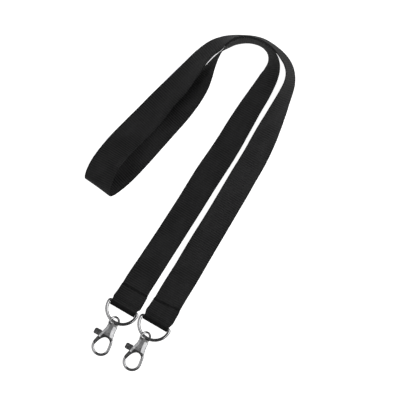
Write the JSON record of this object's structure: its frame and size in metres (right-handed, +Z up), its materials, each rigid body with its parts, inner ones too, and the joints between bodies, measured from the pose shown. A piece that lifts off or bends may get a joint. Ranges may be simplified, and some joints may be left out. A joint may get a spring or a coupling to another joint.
{
  "type": "lanyard",
  "caption": "Flat woven neck strap laid in a folded loop, each end sewn round a D-ring that carries a swivelling trigger snap hook.",
  "frame": {"origin": "centre of the bounding box of the laid-out part, on the table plane", "axes": "+Z up from the table, +Y from the hooks towards the top bend of the strap, +X to the right seen from above"},
  "size_m": [0.1356, 0.3134, 0.0259],
  "materials": {
    "webbing": "black woven polyester webbing, satin on one face and finely ribbed on the other",
    "thread": "black polyester thread, slight sheen",
    "plated_metal": "bright nickel plate on zinc castings and steel wire",
    "spring_wire": "drawn spring steel"
  },
  "bodies": {
    "strap": {"webbing_end_a": "webbing", "webbing_leg_a": "webbing", "webbing_arc_inner": "webbing", "webbing_leg_under": "webbing", "webbing_loop": "webbing", "webbing_leg_over": "webbing", "webbing_arc_outer": "webbing", "webbing_leg_b": "webbing", "webbing_end_b": "webbing", "stitch_row_a": "thread", "stitch_row_b": "thread"},
    "ring_a": {"d_ring_a": "plated_metal"},
    "eye_a": {"swivel_eye_a": "plated_metal"},
    "hook_a": {"hook_body_a": "plated_metal", "gate_rivet_a": "plated_metal", "gate_spring_a": "spring_wire"},
    "gate_a": {"gate_lever_a": "plated_metal"},
    "ring_b": {"d_ring_b": "plated_metal"},
    "eye_b": {"swivel_eye_b": "plated_metal"},
    "hook_b": {"hook_body_b": "plated_metal", "gate_rivet_b": "plated_metal", "gate_spring_b": "spring_wire"},
    "gate_b": {"gate_lever_b": "plated_metal"}
  },
  "joints": [
    {"name": "ring_hinge_a", "type": "hinge", "parent": "strap", "child": "ring_a", "pos_m": [0.02126, -0.1083, 0.00256], "axis": [1, 0, 0], "range_deg": [-100, 90]},
    {"name": "eye_hinge_a", "type": "hinge", "parent": "ring_a", "child": "eye_a", "pos_m": [0.02086, -0.12409, 0.00439], "axis": [0.9996, -0.0286, 0.0033], "range_deg": [-70, 70]},
    {"name": "hook_swivel_a", "type": "hinge", "parent": "eye_a", "child": "hook_a", "pos_m": [0.02086, -0.12409, 0.00439], "axis": [-0.0313, 0.9946, 0.099], "continuous": true},
    {"name": "gate_hinge_a", "type": "hinge", "parent": "hook_a", "child": "gate_a", "pos_m": [0.02018, -0.13427, 0.00338], "axis": [0.0031, -0.0989, 0.9951], "range_deg": [0, 28], "stiffness_Nm_per_rad": 0.03, "springref_deg": -34.38},
    {"name": "ring_hinge_b", "type": "hinge", "parent": "strap", "child": "ring_b", "pos_m": [0.05246, -0.10605, 0.00256], "axis": [1, 0, 0], "range_deg": [-100, 90]},
    {"name": "eye_hinge_b", "type": "hinge", "parent": "ring_b", "child": "eye_b", "pos_m": [0.051, -0.12177, 0.00438], "axis": [0.9945, -0.1043, 0.0121], "range_deg": [-70, 42]},
    {"name": "hook_swivel_b", "type": "hinge", "parent": "eye_b", "child": "hook_b", "pos_m": [0.051, -0.12177, 0.00438], "axis": [-0.0313, 0.9946, 0.099], "continuous": true},
    {"name": "gate_hinge_b", "type": "hinge", "parent": "hook_b", "child": "gate_b", "pos_m": [0.05032, -0.13195, 0.00337], "axis": [0.0031, -0.0989, 0.9951], "range_deg": [0, 28], "stiffness_Nm_per_rad": 0.03, "springref_deg": -34.38}
  ]
}
